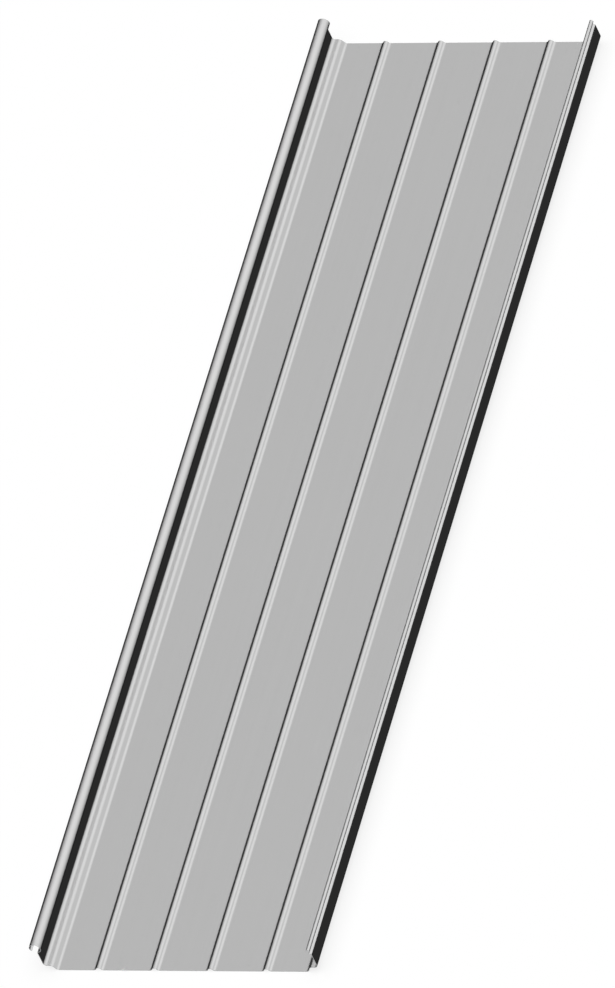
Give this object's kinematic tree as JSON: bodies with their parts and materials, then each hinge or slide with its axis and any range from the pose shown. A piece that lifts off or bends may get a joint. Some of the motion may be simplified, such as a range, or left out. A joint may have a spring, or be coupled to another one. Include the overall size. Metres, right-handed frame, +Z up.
{
  "type": "standing seam roofing sheet",
  "caption": "Roll-formed metal roofing sheet with a flat ribbed pan, stepped edges and upright legs, one ending in an open round bulb and the other in a small curled hook.",
  "frame": {"origin": "middle of the sheet's outline, on the floor under the pan", "axes": "+X from the bulb's leg to the hook's leg, +Y along the sheet's length, +Z up from the pan's underside"},
  "size_m": [0.5108, 2, 0.0685],
  "materials": {
    "coated_sheet": "satin"
  },
  "bodies": {
    "root": {"roof_sheet": "coated_sheet"}
  },
  "joints": []
}
